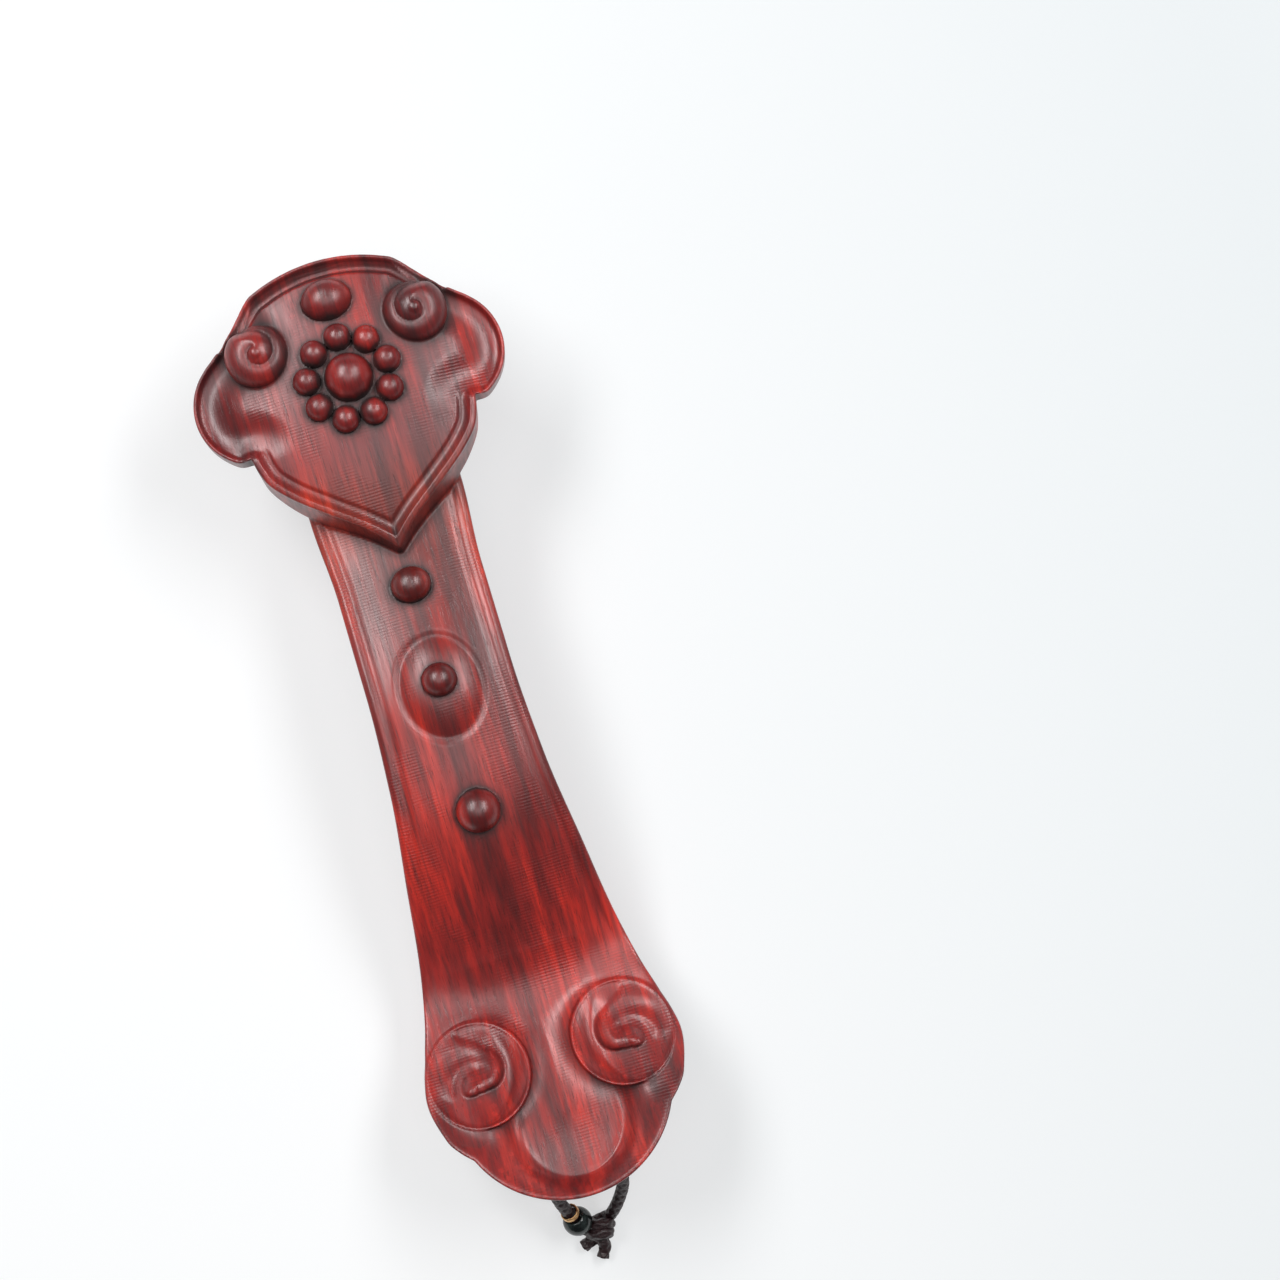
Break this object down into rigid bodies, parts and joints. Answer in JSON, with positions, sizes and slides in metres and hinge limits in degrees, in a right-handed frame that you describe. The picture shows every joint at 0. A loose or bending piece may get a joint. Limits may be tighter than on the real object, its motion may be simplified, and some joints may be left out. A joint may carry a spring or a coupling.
{
  "type": "ruyi sceptre",
  "caption": "Small ruyi sceptre carved from one block of dark red wood, with an arched handle, a lobed head and a knotted cord with a bead.",
  "frame": {"origin": "middle of the carved block in plan, on the surface that it lies on", "axes": "+Y along the sceptre towards its head, +Z out of the carved face, +X across to the right"},
  "size_m": [0.0402, 0.1316, 0.0264],
  "materials": {
    "rosewood": "polished, dark red, fine grain",
    "cord_braid": "tight braid, dark brown to black",
    "bead_black": "polished black",
    "spacer_gold": "polished, gold-coloured"
  },
  "bodies": {
    "root": {"carved_sceptre": "rosewood", "cord_loop": "cord_braid", "cord_knot": "cord_braid", "cord_tail_long": "cord_braid", "cord_tail_short": "cord_braid"},
    "bead_set": {"black_bead": "bead_black", "gold_spacer": "spacer_gold"}
  },
  "joints": [
    {"name": "bead_slide", "type": "slide", "parent": "root", "child": "bead_set", "axis": [-0.2329, 0.5577, 0.7967], "range_m": [0, 0.0015]}
  ]
}
